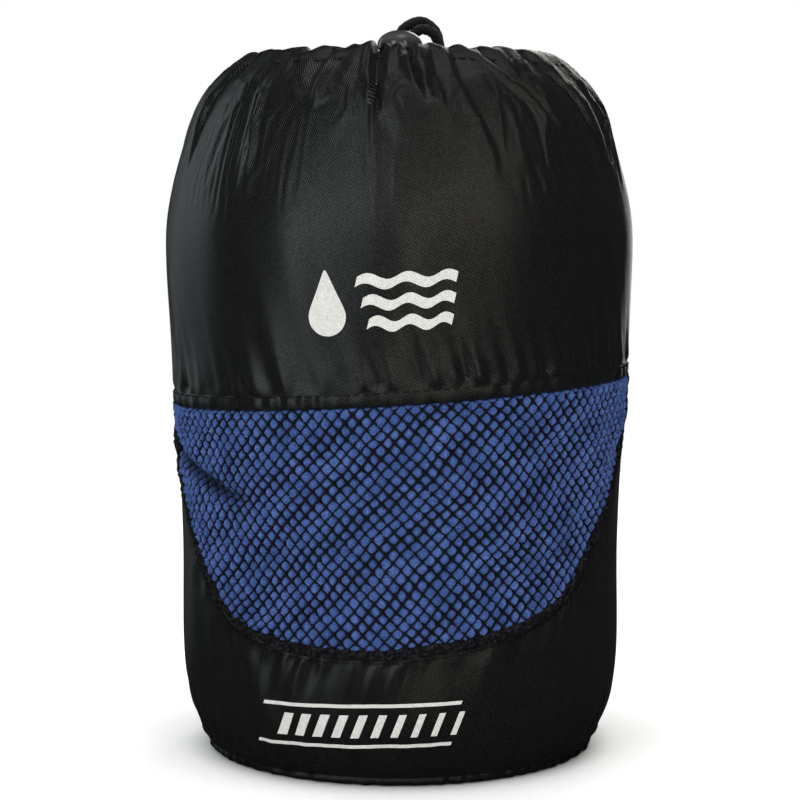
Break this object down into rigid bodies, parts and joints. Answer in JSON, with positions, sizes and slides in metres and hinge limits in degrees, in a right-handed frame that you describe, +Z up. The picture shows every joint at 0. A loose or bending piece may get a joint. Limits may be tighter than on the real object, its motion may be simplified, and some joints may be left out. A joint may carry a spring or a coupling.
{
  "type": "packed travel towel",
  "caption": "Rolled microfibre terry towel packed in a round-bottomed drawstring sack with a mesh window and a sprung cord lock.",
  "frame": {"origin": "middle of the flat base that the sack stands on", "axes": "+Z up along the roll, -Y out of the front through the mesh window, +X to the right seen from the front"},
  "size_m": [0.1359, 0.136, 0.2124],
  "materials": {
    "nylon": "black twill with a satin sheen",
    "net": "black knotted net",
    "terry": "blue looped terry",
    "thread": "black polyester thread",
    "cord": "black braid",
    "lock_plastic": "dark grey gloss",
    "spring_steel": "bright wire"
  },
  "bodies": {
    "sack": {"towel_roll": "terry", "base_disc": "nylon", "base_rim": "nylon", "lower_panel": "nylon", "window_edge_tape": "net", "mesh_window": "net", "window_top_hem": "nylon", "upper_panel": "nylon", "back_seam": "nylon", "drawcord_channel": "nylon", "drawcord": "cord", "drawcord_tail_left": "cord", "drawcord_tail_right": "cord", "cord_knot": "cord", "channel_stitching": "thread", "window_top_stitching": "thread", "window_arc_stitching": "thread", "base_stitching": "thread"},
    "cord_lock": {"cord_lock_body": "lock_plastic", "cord_lock_spring": "spring_steel"},
    "lock_button": {"cord_lock_button": "lock_plastic"}
  },
  "joints": [
    {"name": "lock_slide", "type": "slide", "parent": "sack", "child": "cord_lock", "axis": [0, 1, 0], "range_m": [0, 0.009]},
    {"name": "button_press", "type": "slide", "parent": "cord_lock", "child": "lock_button", "axis": [0, 0, -1], "range_m": [0, 0.0035], "stiffness_N_per_m": 600, "deforming": ["cord_lock_spring"]}
  ]
}
